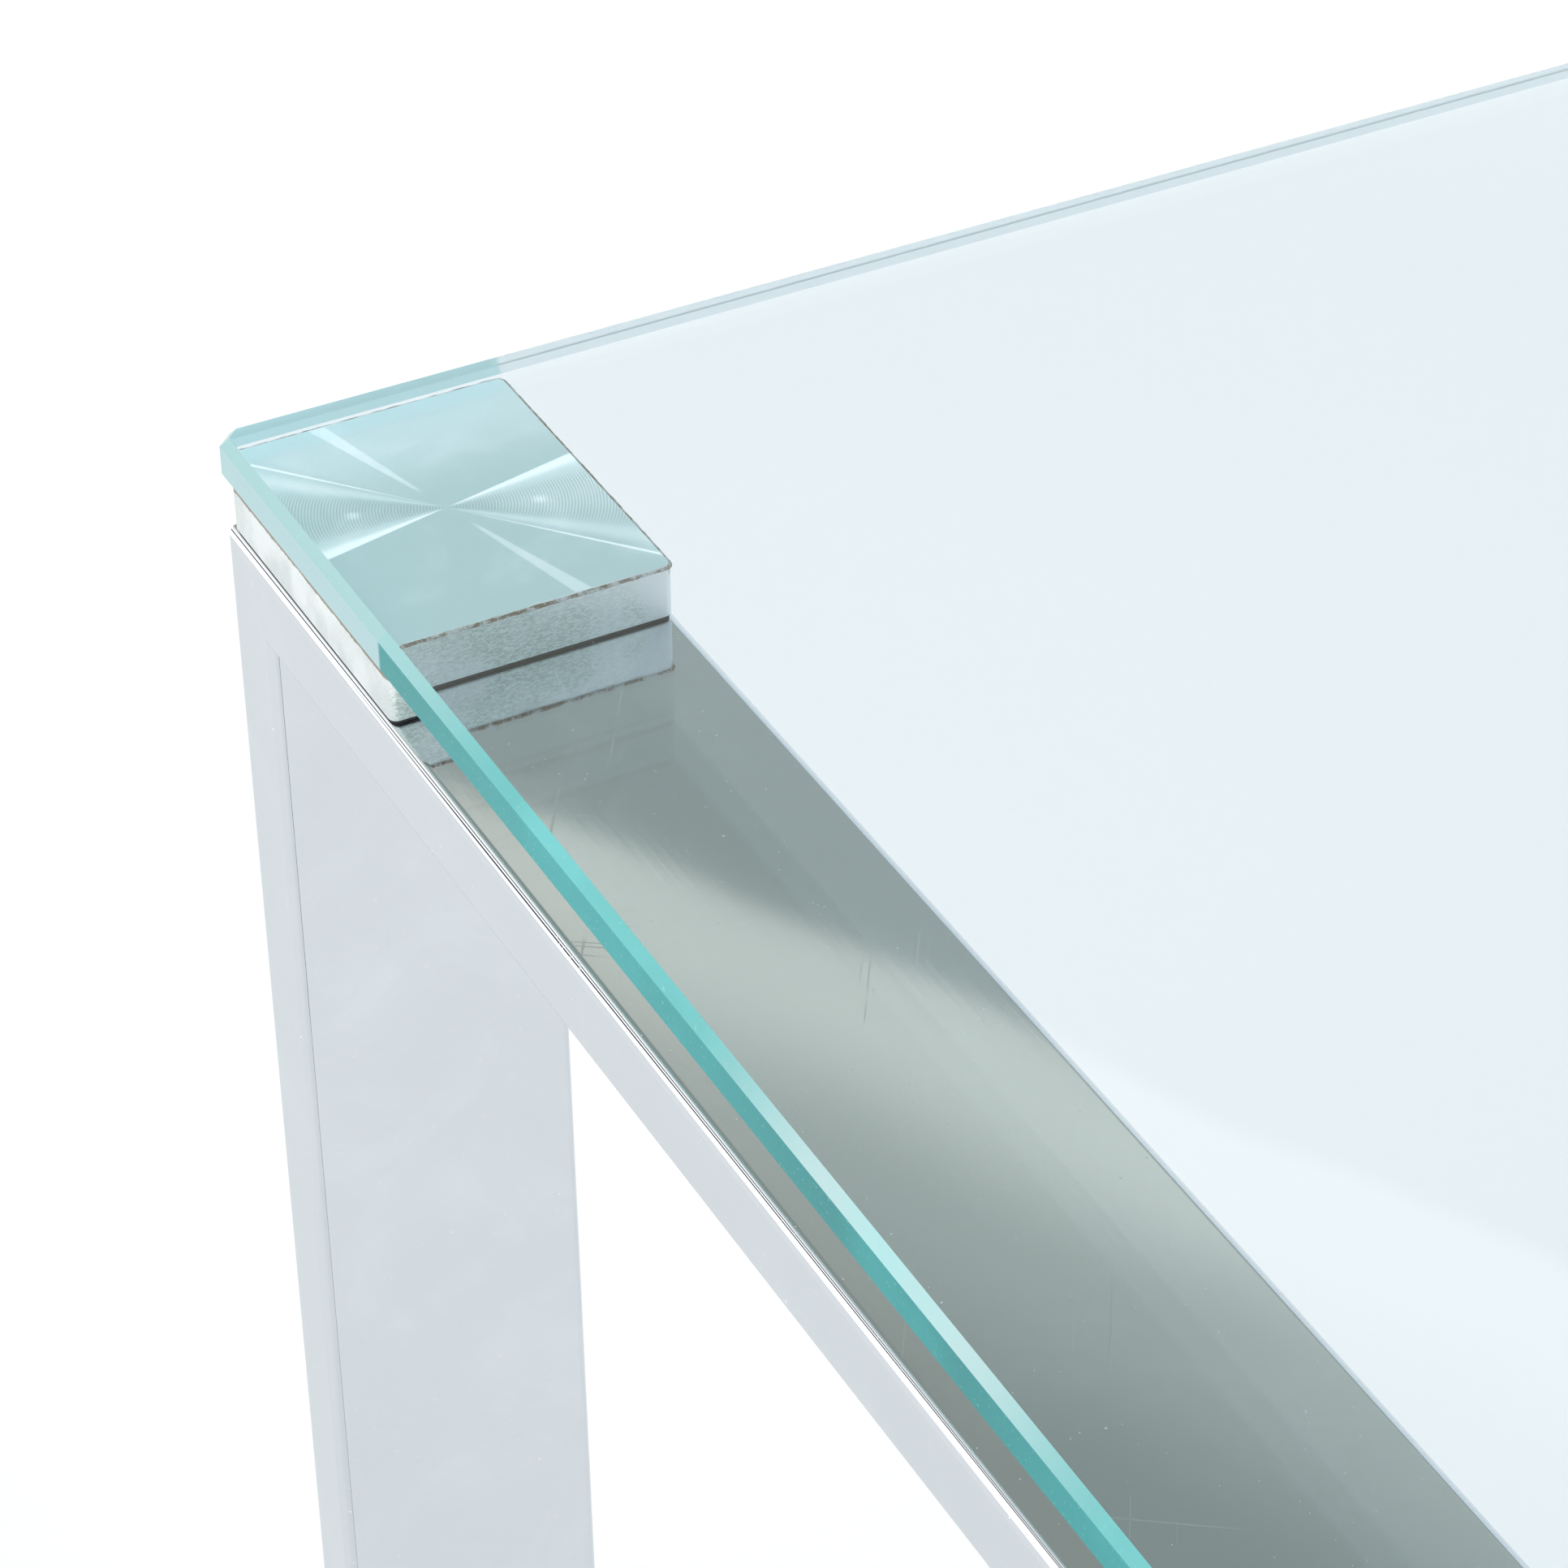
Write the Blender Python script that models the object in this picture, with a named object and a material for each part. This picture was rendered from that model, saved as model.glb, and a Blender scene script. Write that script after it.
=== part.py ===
"""Console table: a clear glass top on two inverted-U frames of polished rectangular tube.

The table stands on Z = 0 with its length along X and its depth along Y, and its origin is
at the middle of its footprint. Each frame is a top rail and two legs with mitred corners.
Aluminium blocks bonded under the glass sit on the rails and are bolted from below.
"""

import math

import bmesh
import bpy
from mathutils import Matrix, Vector

# Whole table
TABLE_LENGTH = 1.200
TABLE_DEPTH = 0.450
TABLE_HEIGHT = 0.760

# Clearance between solids that touch on the real table
FIT_GAP = 0.0003

# Glass top
GLASS_THICKNESS = 0.008
GLASS_BEVEL = 0.0015
GLASS_CORNER_CLIP = 0.003

# Frame tube: the wide faces look up and down on a rail, inwards and outwards on a leg
FRAME_END_SETBACK = 0.0010
FRAME_SIDE_SETBACK = 0.0005
TUBE_WIDTH = 0.050
TUBE_THICKNESS = 0.015
TUBE_WALL = 0.0015
TUBE_RADIUS = 0.0020
TUBE_INNER_RADIUS_LEAST = 0.0004
TUBE_RADIUS_STEPS = 4

# Spacer blocks bonded to the glass, and the thin black pads under them
SPACER_LENGTH = 0.0625
SPACER_HEIGHT = 0.0085
SPACER_EDGE = 0.0004
SPACER_SIDE_INSET = 0.0010
SPACER_END_INSET = 0.0013
PAD_THICKNESS = 0.0005
PAD_INSET = 0.0002

# Spacer bolts, put in from under the rail
BOLT_LEG_ROOM = 0.010
BOLT_END_ROOM = 0.012
BOLT_RADIUS = 0.0030
BOLT_HOLE_CLEARANCE = 0.0004
BOLT_BITE = 0.0055
BOLT_TIP_ROOM = 0.0008
BOLT_TIP_CHAMFER = 0.0006
BOLT_HEAD_RADIUS = 0.0052
BOLT_HEAD_HEIGHT = 0.0033
BOLT_FACE_SHARE = 0.65
BOLT_DOME_SHARE = 0.85
BOLT_DOME_STEPS = 4
BOLT_SOCKET_FLATS = 0.0040
BOLT_SOCKET_DEPTH = 0.0020
WASHER_RADIUS = 0.0062
WASHER_THICKNESS = 0.0012

# Leg plugs and levelling feet
PLUG_FLANGE = 0.0025
PLUG_DEPTH = 0.022
STUD_RADIUS = 0.0030
STUD_LENGTH = 0.028
STUD_COLLAR_FLATS = 0.0100
STUD_COLLAR_HEIGHT = 0.0030
STUD_NECK_RADIUS = 0.0030
FOOT_RADIUS = 0.0072
FOOT_HEIGHT = 0.0060
FOOT_SOCKET_DEPTH = 0.0035
FOOT_EDGE = 0.0008

ROUND_STEPS = 24
HEX_SIDES = 6
SMOOTH_ANGLE_DEG = 35

# Heights and places that follow from the sizes above
GLASS_BOTTOM = TABLE_HEIGHT - GLASS_THICKNESS
SPACER_TOP = GLASS_BOTTOM - FIT_GAP
SPACER_BOTTOM = SPACER_TOP - SPACER_HEIGHT
PAD_TOP = SPACER_BOTTOM - FIT_GAP
PAD_BOTTOM = PAD_TOP - PAD_THICKNESS
RAIL_TOP = PAD_BOTTOM - FIT_GAP
RAIL_BOTTOM = RAIL_TOP - TUBE_THICKNESS
FRAME_DEPTH = TABLE_DEPTH - 2 * FRAME_END_SETBACK
FRAME_X = (TABLE_LENGTH - TUBE_WIDTH) / 2 - FRAME_SIDE_SETBACK
LEG_Y = (FRAME_DEPTH - TUBE_THICKNESS) / 2
SPACER_Y = (FRAME_DEPTH - SPACER_LENGTH) / 2 - SPACER_END_INSET
SPACER_WIDTH = TUBE_WIDTH - 2 * SPACER_SIDE_INSET
OUTER_BOLT_Y = FRAME_DEPTH / 2 - TUBE_THICKNESS - BOLT_LEG_ROOM
INNER_BOLT_Y = SPACER_Y - SPACER_LENGTH / 2 + BOLT_END_ROOM
MITRE_DROP = FIT_GAP * math.sqrt(2)
BOLT_HOLE_RADIUS = BOLT_RADIUS + BOLT_HOLE_CLEARANCE
COLLAR_BOTTOM = FOOT_HEIGHT + FIT_GAP
COLLAR_TOP = COLLAR_BOTTOM + STUD_COLLAR_HEIGHT
PLUG_BOTTOM = COLLAR_TOP + FIT_GAP
LEG_BOTTOM = PLUG_BOTTOM + PLUG_FLANGE + FIT_GAP
CORNERS = {
    "rear_left": (-1, 1),
    "rear_right": (1, 1),
    "front_left": (-1, -1),
    "front_right": (1, -1),
}


def clear_scene():
    for old_object in list(bpy.data.objects):
        bpy.data.objects.remove(old_object, do_unlink=True)


def finish_material(name, color, roughness, metallic=0.0, transmission=0.0):
    material = bpy.data.materials.new(name)
    material.use_nodes = True
    shader = material.node_tree.nodes["Principled BSDF"]
    shader.inputs["Base Color"].default_value = (*color, 1.0)
    shader.inputs["Roughness"].default_value = roughness
    shader.inputs["Metallic"].default_value = metallic
    shader.inputs["Transmission Weight"].default_value = transmission
    material.diffuse_color = (*color, 1.0)
    return material


def rectangle_outline(width, depth, clip=0.0):
    """Corners of a centred rectangle, counter-clockwise, with each corner cut at 45 degrees."""
    half_w = width / 2
    half_d = depth / 2
    if clip == 0.0:
        return [(half_w, -half_d), (half_w, half_d), (-half_w, half_d), (-half_w, -half_d)]
    return [
        (half_w, -half_d + clip), (half_w, half_d - clip),
        (half_w - clip, half_d), (-half_w + clip, half_d),
        (-half_w, half_d - clip), (-half_w, -half_d + clip),
        (-half_w + clip, -half_d), (half_w - clip, -half_d),
    ]


def rounded_outline(width, depth, radius, steps=TUBE_RADIUS_STEPS):
    """A centred rectangle, counter-clockwise, with quarter-circle corners."""
    points = []
    centres = [(1, 1), (-1, 1), (-1, -1), (1, -1)]
    for quarter, (side_x, side_y) in enumerate(centres):
        centre_x = side_x * (width / 2 - radius)
        centre_y = side_y * (depth / 2 - radius)
        for step in range(steps + 1):
            angle = math.radians(90 * (quarter + step / steps))
            points.append((centre_x + radius * math.cos(angle), centre_y + radius * math.sin(angle)))
    return points


def circle_outline(radius):
    return polar_outline(lambda angle: radius)


def hexagon_outline(across_flats):
    """A hexagon sampled at the same angles as a circle, so the two can be joined by faces."""
    sector = 2 * math.pi / HEX_SIDES

    def radius_at(angle):
        return across_flats / 2 / math.cos(angle % sector - sector / 2)

    return polar_outline(radius_at)


def polar_outline(radius_at):
    points = []
    for step in range(ROUND_STEPS):
        angle = 2 * math.pi * step / ROUND_STEPS
        radius = radius_at(angle)
        points.append((radius * math.cos(angle), radius * math.sin(angle)))
    return points


def layered_mesh(name, layers, ring=False):
    """Skin a stack of outlines that all have the same number of points.

    Each layer is an outline with one height, or with a function that gives the height at
    (x, y), which is how a mitred end is cut. The ends are capped, unless the stack is a
    ring, whose last layer joins its first.
    """
    mesh_builder = bmesh.new()
    loops = []
    for outline, height in layers:
        height_at = height if callable(height) else (lambda x, y, level=height: level)
        loops.append([mesh_builder.verts.new((x, y, height_at(x, y))) for x, y in outline])
    pairs = list(zip(loops, loops[1:]))
    if ring:
        pairs.append((loops[-1], loops[0]))
    else:
        mesh_builder.faces.new(list(reversed(loops[0])))
        mesh_builder.faces.new(loops[-1])
    for lower, upper in pairs:
        count = len(lower)
        for index in range(count):
            following = (index + 1) % count
            mesh_builder.faces.new((lower[index], lower[following], upper[following], upper[index]))
    bmesh.ops.recalc_face_normals(mesh_builder, faces=mesh_builder.faces)
    mesh = bpy.data.meshes.new(name)
    mesh_builder.to_mesh(mesh)
    mesh_builder.free()
    return mesh


def add_object(name, mesh, material, location, rotation=(0.0, 0.0, 0.0), smooth=False):
    added = bpy.data.objects.new(name, mesh)
    bpy.context.scene.collection.objects.link(added)
    added.location = location
    added.rotation_euler = rotation
    if material and not mesh.materials:
        mesh.materials.append(material)
    if smooth:
        mesh.shade_smooth()
        mesh.set_sharp_from_angle(angle=math.radians(SMOOTH_ANGLE_DEG))
    return added


def cylinder_cutter(name, radius, length, places):
    """One guide object with an upright cylinder at each place, given by its middle."""
    mesh_builder = bmesh.new()
    for place in places:
        bmesh.ops.create_cone(
            mesh_builder, cap_ends=True, segments=ROUND_STEPS, radius1=radius, radius2=radius,
            depth=length, matrix=Matrix.Translation(place),
        )
    mesh = bpy.data.meshes.new(name)
    mesh_builder.to_mesh(mesh)
    mesh_builder.free()
    cutter = add_object(name, mesh, None, (0.0, 0.0, 0.0))
    cutter.hide_render = True
    cutter.display_type = "WIRE"
    return cutter


def cut(target, cutter):
    boolean = target.modifiers.new("cut", "BOOLEAN")
    boolean.operation = "DIFFERENCE"
    boolean.solver = "EXACT"
    boolean.object = cutter


def bolt_places(side_x, side_y, height):
    """The outer and inner bolt axes of one spacer block, both clear of the leg."""
    return [
        Vector((side_x * FRAME_X, side_y * bolt_y, height))
        for bolt_y in (OUTER_BOLT_Y, INNER_BOLT_Y)
    ]


def build_glass(material):
    full = rectangle_outline(TABLE_LENGTH, TABLE_DEPTH, GLASS_CORNER_CLIP)
    # The bevelled outline keeps the same width of bevel along the clipped corners.
    inner_clip = GLASS_CORNER_CLIP - GLASS_BEVEL * (2 - math.sqrt(2))
    inner = rectangle_outline(
        TABLE_LENGTH - 2 * GLASS_BEVEL, TABLE_DEPTH - 2 * GLASS_BEVEL, inner_clip)
    layers = [
        (inner, 0.0),
        (full, GLASS_BEVEL),
        (full, GLASS_THICKNESS - GLASS_BEVEL),
        (inner, GLASS_THICKNESS),
    ]
    add_object("glass_top", layered_mesh("glass_top", layers), material, (0.0, 0.0, GLASS_BOTTOM))


def build_spacer(corner, side_x, side_y, material):
    full = rectangle_outline(SPACER_WIDTH, SPACER_LENGTH)
    inner = rectangle_outline(SPACER_WIDTH - 2 * SPACER_EDGE, SPACER_LENGTH - 2 * SPACER_EDGE)
    layers = [
        (inner, 0.0),
        (full, SPACER_EDGE),
        (full, SPACER_HEIGHT - SPACER_EDGE),
        (inner, SPACER_HEIGHT),
    ]
    name = "spacer_block_" + corner
    place = (side_x * FRAME_X, side_y * SPACER_Y, SPACER_BOTTOM)
    block = add_object(name, layered_mesh(name, layers), material, place)
    hole_depth = BOLT_BITE + BOLT_TIP_ROOM
    # The cutter is centred on the block's underside, so half of it makes the blind hole.
    holes = bolt_places(side_x, side_y, SPACER_BOTTOM)
    cut(block, cylinder_cutter("cutter_" + name, BOLT_HOLE_RADIUS, 2 * hole_depth, holes))


def build_pad(corner, side_x, side_y, material):
    outline = rectangle_outline(SPACER_WIDTH - 2 * PAD_INSET, SPACER_LENGTH - 2 * PAD_INSET)
    name = "spacer_pad_" + corner
    place = (side_x * FRAME_X, side_y * SPACER_Y, PAD_BOTTOM)
    mesh = layered_mesh(name, [(outline, 0.0), (outline, PAD_THICKNESS)])
    pad = add_object(name, mesh, material, place)
    middle = PAD_BOTTOM + PAD_THICKNESS / 2
    holes = bolt_places(side_x, side_y, middle)
    cutter_length = PAD_THICKNESS + 2 * FIT_GAP
    cut(pad, cylinder_cutter("cutter_" + name, BOLT_HOLE_RADIUS, cutter_length, holes))


def tube_outlines():
    """The outer and inner outlines of the frame tube, with the same number of points."""
    outer = rounded_outline(TUBE_WIDTH, TUBE_THICKNESS, TUBE_RADIUS)
    inner_radius = max(TUBE_RADIUS - TUBE_WALL, TUBE_INNER_RADIUS_LEAST)
    inner = rounded_outline(
        TUBE_WIDTH - 2 * TUBE_WALL, TUBE_THICKNESS - 2 * TUBE_WALL, inner_radius)
    return outer, inner


def tube_mesh(name, low_end, high_end):
    """A hollow tube along Z whose ends follow two height functions of (x, y)."""
    outer, inner = tube_outlines()
    layers = [(outer, low_end), (outer, high_end), (inner, high_end), (inner, low_end)]
    return layered_mesh(name, layers, ring=True)


def build_rail(side, side_x, material):
    half_length = FRAME_DEPTH / 2
    half_thickness = TUBE_THICKNESS / 2

    # The tube is drawn along Z and turned so that its -Y face becomes the top face.
    def rear_mitre(x, y):
        return half_length - (y + half_thickness)

    def front_mitre(x, y):
        return -rear_mitre(x, y)

    name = "top_rail_" + side
    place = (side_x * FRAME_X, 0.0, RAIL_TOP - half_thickness)
    mesh = tube_mesh(name, front_mitre, rear_mitre)
    rail = add_object(name, mesh, material, place, (math.radians(-90), 0.0, 0.0), smooth=True)
    holes = []
    for side_y in (-1, 1):
        holes += bolt_places(side_x, side_y, RAIL_TOP - half_thickness)
    cut(rail, cylinder_cutter("cutter_" + name, BOLT_HOLE_RADIUS, 2 * TUBE_THICKNESS, holes))


def build_leg(corner, side_x, side_y, material):
    length = RAIL_TOP - LEG_BOTTOM

    # Drawn with its outer wide face at +Y, and turned by half a turn for a front leg.
    def top_mitre(x, y):
        return length - MITRE_DROP - (TUBE_THICKNESS / 2 - y)

    def square_end(x, y):
        return 0.0

    name = "leg_" + corner
    place = (side_x * FRAME_X, side_y * LEG_Y, LEG_BOTTOM)
    turn = 0.0 if side_y > 0 else math.pi
    mesh = tube_mesh(name, square_end, top_mitre)
    add_object(name, mesh, material, place, (0.0, 0.0, turn), smooth=True)


def build_plug(corner, side_x, side_y, material):
    """A plastic plug in the end of a leg: a flange under the tube and a body inside it."""
    flange = rounded_outline(TUBE_WIDTH, TUBE_THICKNESS, TUBE_RADIUS)
    edge = TUBE_RADIUS / 2
    flange_edge = rounded_outline(TUBE_WIDTH - 2 * edge, TUBE_THICKNESS - 2 * edge, TUBE_RADIUS - edge)
    inset = 2 * (TUBE_WALL + FIT_GAP)
    body = rounded_outline(TUBE_WIDTH - inset, TUBE_THICKNESS - inset, TUBE_INNER_RADIUS_LEAST)
    body_top = PLUG_FLANGE + PLUG_DEPTH
    layers = [
        (flange_edge, 0.0),
        (flange, edge),
        (flange, PLUG_FLANGE),
        (body, PLUG_FLANGE),
        (body, body_top),
    ]
    name = "leg_plug_" + corner
    place = (side_x * FRAME_X, side_y * LEG_Y, PLUG_BOTTOM)
    plug = add_object(name, layered_mesh(name, layers), material, place)
    middle = Vector((side_x * FRAME_X, side_y * LEG_Y, PLUG_BOTTOM + body_top / 2))
    cut(plug, cylinder_cutter("cutter_" + name, STUD_RADIUS + FIT_GAP, 2 * body_top, [middle]))


def stud_mesh():
    """A levelling stud: neck, hexagonal collar for a spanner, and threaded shank."""
    foot_floor = FOOT_HEIGHT - FOOT_SOCKET_DEPTH + FIT_GAP
    shank = circle_outline(STUD_RADIUS)
    neck = circle_outline(STUD_NECK_RADIUS)
    collar = hexagon_outline(STUD_COLLAR_FLATS)
    tip = circle_outline(STUD_RADIUS - BOLT_TIP_CHAMFER)
    layers = [
        (neck, foot_floor),
        (neck, COLLAR_BOTTOM),
        (collar, COLLAR_BOTTOM),
        (collar, COLLAR_TOP),
        (shank, COLLAR_TOP),
        (shank, COLLAR_TOP + STUD_LENGTH - BOLT_TIP_CHAMFER),
        (tip, COLLAR_TOP + STUD_LENGTH),
    ]
    return layered_mesh("levelling_stud", layers)


def foot_mesh():
    """A levelling foot: a low disc with a socket in its top for the stud's neck."""
    sole = circle_outline(FOOT_RADIUS - FOOT_EDGE)
    rim = circle_outline(FOOT_RADIUS)
    socket = circle_outline(STUD_NECK_RADIUS + FIT_GAP)
    layers = [
        (sole, 0.0),
        (rim, FOOT_EDGE),
        (rim, FOOT_HEIGHT - FOOT_EDGE),
        (sole, FOOT_HEIGHT),
        (socket, FOOT_HEIGHT),
        (socket, FOOT_HEIGHT - FOOT_SOCKET_DEPTH),
    ]
    return layered_mesh("levelling_foot", layers)


def build_feet(stud_material, foot_material):
    stud = stud_mesh()
    foot = foot_mesh()
    for corner, (side_x, side_y) in CORNERS.items():
        place = (side_x * FRAME_X, side_y * LEG_Y, 0.0)
        add_object("levelling_stud_" + corner, stud, stud_material, place, smooth=True)
        add_object("levelling_foot_" + corner, foot, foot_material, place, smooth=True)


def bolt_mesh():
    """A button-head bolt along +Z with its head at the bottom and a hexagonal socket."""
    under_head = BOLT_HEAD_HEIGHT + WASHER_THICKNESS + 2 * FIT_GAP
    shank_end = under_head + (SPACER_BOTTOM - RAIL_BOTTOM) + BOLT_BITE
    socket = hexagon_outline(BOLT_SOCKET_FLATS)
    shank = circle_outline(BOLT_RADIUS)
    tip = circle_outline(BOLT_RADIUS - BOLT_TIP_CHAMFER)
    face_radius = BOLT_FACE_SHARE * BOLT_HEAD_RADIUS
    dome_height = BOLT_DOME_SHARE * BOLT_HEAD_HEIGHT
    layers = [(socket, BOLT_SOCKET_DEPTH), (socket, 0.0)]
    for step in range(BOLT_DOME_STEPS + 1):
        # A quarter ellipse from the head's flat face out to its full radius.
        angle = math.pi / 2 * step / BOLT_DOME_STEPS
        radius = face_radius + (BOLT_HEAD_RADIUS - face_radius) * math.sin(angle)
        layers.append((circle_outline(radius), dome_height * (1 - math.cos(angle))))
    layers += [
        (circle_outline(BOLT_HEAD_RADIUS), BOLT_HEAD_HEIGHT),
        (shank, BOLT_HEAD_HEIGHT),
        (shank, shank_end - BOLT_TIP_CHAMFER),
        (tip, shank_end),
    ]
    return layered_mesh("spacer_bolt", layers)


def washer_mesh():
    outer = circle_outline(WASHER_RADIUS)
    bore = circle_outline(BOLT_HOLE_RADIUS)
    layers = [(outer, 0.0), (outer, WASHER_THICKNESS), (bore, WASHER_THICKNESS), (bore, 0.0)]
    return layered_mesh("spacer_washer", layers, ring=True)


def build_bolts(material):
    bolt = bolt_mesh()
    washer = washer_mesh()
    washer_bottom = RAIL_BOTTOM - FIT_GAP - WASHER_THICKNESS
    bolt_bottom = washer_bottom - FIT_GAP - BOLT_HEAD_HEIGHT
    for corner, (side_x, side_y) in CORNERS.items():
        for place, end in zip(bolt_places(side_x, side_y, 0.0), ("outer", "inner")):
            bolt_place = place + Vector((0.0, 0.0, bolt_bottom))
            washer_place = place + Vector((0.0, 0.0, washer_bottom))
            label = f"{corner}_{end}"
            add_object("spacer_bolt_" + label, bolt, material, bolt_place, smooth=True)
            add_object("spacer_washer_" + label, washer, material, washer_place, smooth=True)


def build_table():
    clear_scene()
    glass = finish_material("clear_glass", (0.80, 0.93, 0.92), 0.02, transmission=0.9)
    steel = finish_material("polished_steel", (0.84, 0.85, 0.87), 0.06, metallic=1.0)
    aluminium = finish_material("turned_aluminium", (0.80, 0.83, 0.84), 0.30, metallic=1.0)
    black = finish_material("black_pad", (0.04, 0.045, 0.05), 0.85)
    plastic = finish_material("grey_plastic", (0.20, 0.20, 0.21), 0.55)
    zinc = finish_material("zinc_steel", (0.66, 0.67, 0.68), 0.35, metallic=1.0)
    foot = finish_material("foot_plastic", (0.10, 0.10, 0.11), 0.60)

    build_glass(glass)
    for side, side_x in (("left", -1), ("right", 1)):
        build_rail(side, side_x, steel)
    for corner, (side_x, side_y) in CORNERS.items():
        build_spacer(corner, side_x, side_y, aluminium)
        build_pad(corner, side_x, side_y, black)
        build_leg(corner, side_x, side_y, steel)
        build_plug(corner, side_x, side_y, plastic)
    build_feet(zinc, foot)
    build_bolts(zinc)


build_table()
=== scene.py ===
"""Looks of the glass console table, laid out as an add-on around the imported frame."""

import math

import bmesh
import bpy
import numpy as np
from bpy.props import FloatProperty, FloatVectorProperty, IntProperty, PointerProperty
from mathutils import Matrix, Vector


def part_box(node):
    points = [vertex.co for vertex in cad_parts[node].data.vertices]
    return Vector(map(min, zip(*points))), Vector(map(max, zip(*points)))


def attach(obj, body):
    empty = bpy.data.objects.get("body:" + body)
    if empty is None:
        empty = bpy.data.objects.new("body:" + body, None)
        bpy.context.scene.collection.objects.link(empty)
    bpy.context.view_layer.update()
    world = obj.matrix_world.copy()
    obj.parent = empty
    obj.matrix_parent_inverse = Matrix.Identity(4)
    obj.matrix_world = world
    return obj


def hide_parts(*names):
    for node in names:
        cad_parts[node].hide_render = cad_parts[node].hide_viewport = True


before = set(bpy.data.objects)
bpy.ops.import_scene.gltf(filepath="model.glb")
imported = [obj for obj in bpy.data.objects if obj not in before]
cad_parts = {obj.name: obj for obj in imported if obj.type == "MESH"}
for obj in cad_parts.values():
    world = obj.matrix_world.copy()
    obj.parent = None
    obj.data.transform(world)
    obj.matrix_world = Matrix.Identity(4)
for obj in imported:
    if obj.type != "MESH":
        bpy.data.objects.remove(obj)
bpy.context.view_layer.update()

bl_info = {
    "name": "Glass console table",
    "version": (1, 0, 0),
    "blender": (4, 5, 0),
    "location": "3D View > Sidebar > Console table",
    "description": "Builds the visible surfaces and finishes of a glass and steel console table",
    "category": "Object",
}

MM = 0.001
CONTACT = 0.02 * MM
TABLE = "table"
SIDES = ("left", "right")
CORNERS = ("rear_left", "rear_right", "front_left", "front_right")
BOLT_ENDS = ("outer", "inner")


def cad_box(node):
    low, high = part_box(node)
    return np.array(low), np.array(high)


GLASS_LOW, GLASS_HIGH = cad_box("glass_top")
RAIL_LOW, RAIL_HIGH = cad_box("top_rail_left")
LEG_LOW, LEG_HIGH = cad_box("leg_rear_left")
BLOCK_LOW, BLOCK_HIGH = cad_box("spacer_block_rear_left")
TUBE_WIDTH = float(RAIL_HIGH[0] - RAIL_LOW[0])
TUBE_THICKNESS = float(RAIL_HIGH[2] - RAIL_LOW[2])
# Solids that touch on the real table stand this far apart in the frame.
CLEARANCE = 0.3 * MM


# ---------------- settings


def length_prop(name, description, default):
    return FloatProperty(name=name, description=description, default=default, unit="LENGTH")


def color_prop(name, description, default):
    return FloatVectorProperty(
        name=name, description=description, subtype="COLOR", size=3, default=default)


class GlassSettings(bpy.types.PropertyGroup):
    bevel: length_prop("Bevel", "Width of the polished bevel", 1.5 * MM)
    corner_clip: length_prop("Corner clip", "Length cut off each corner", 3.0 * MM)
    tint: color_prop("Tint", "Colour of the glass seen through", (0.84, 0.92, 0.965))
    edge: color_prop("Edge", "Colour of the polished edge", (0.030, 0.255, 0.260))
    # Painted light: over a block the edge and bevel take lighter tones, painted in for the bright
    # block seen through the glass.
    edge_lit: color_prop(
        "Edge over a block", "Colour of the edge where a block is bonded below", (0.40, 0.59, 0.61))
    bevel_color: color_prop("Bevel colour", "Colour of the bevel", (0.48, 0.67, 0.68))
    bevel_deep: color_prop(
        "Bevel beside a block", "Colour of the bevel next to a block's end", (0.16, 0.50, 0.50))
    bevel_lit: color_prop(
        "Bevel over a block", "Colour of the bevel where a block is bonded below",
        (0.38, 0.60, 0.61))
    # Painted glow: the inside share of the edge gives off this colour as light of its own.
    trapped: color_prop(
        "Trapped light", "Colour of the light scattered inside an edge", (0.54, 0.64, 0.67))
    index: FloatProperty(
        name="Refraction", description="Index of refraction", default=1.52, min=1.0, max=2.0)


class SteelSettings(bpy.types.PropertyGroup):
    corner_radius: length_prop("Corner radius", "Outer corner radius of the tube", 2.0 * MM)
    wall: length_prop("Wall", "Wall of the tube", 1.5 * MM)
    color: color_prop("Steel", "Colour of the polished steel", (0.640, 0.680, 0.710))
    roughness: FloatProperty(
        name="Roughness", description="Roughness of the polish", default=0.035, min=0.0, max=1.0)


class BlockSettings(bpy.types.PropertyGroup):
    edge_radius: length_prop("Edge radius", "Rounding of the block's edges", 0.35 * MM)
    corner_radius: length_prop("Corner radius", "Rounding of the upright corners", 1.5 * MM)
    ring_pitch: length_prop("Ring pitch", "Distance between turned rings", 0.50 * MM)
    pad_height: length_prop("Pad height", "Thickness of the black pad", 0.48 * MM)
    bead_radius: length_prop("Bead", "Radius of the adhesive bead", 0.34 * MM)
    top_color: color_prop(
        "Bonded top", "Colour of the wetted top under the glass", (0.72, 0.97, 0.94))
    side_color: color_prop("Aluminium", "Colour of the bare sides", (0.88, 1.0, 0.94))


class FastenerSettings(bpy.types.PropertyGroup):
    thread_pitch: length_prop("Thread pitch", "Advance for each turn", 1.0 * MM)
    thread_depth: length_prop("Thread depth", "Depth of the thread", 0.55 * MM)
    round_steps: IntProperty(
        name="Steps", description="Faces round a turned piece", default=64, min=12, max=256)
    color: color_prop("Zinc", "Colour of the zinc plating", (0.56, 0.58, 0.60))


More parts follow.
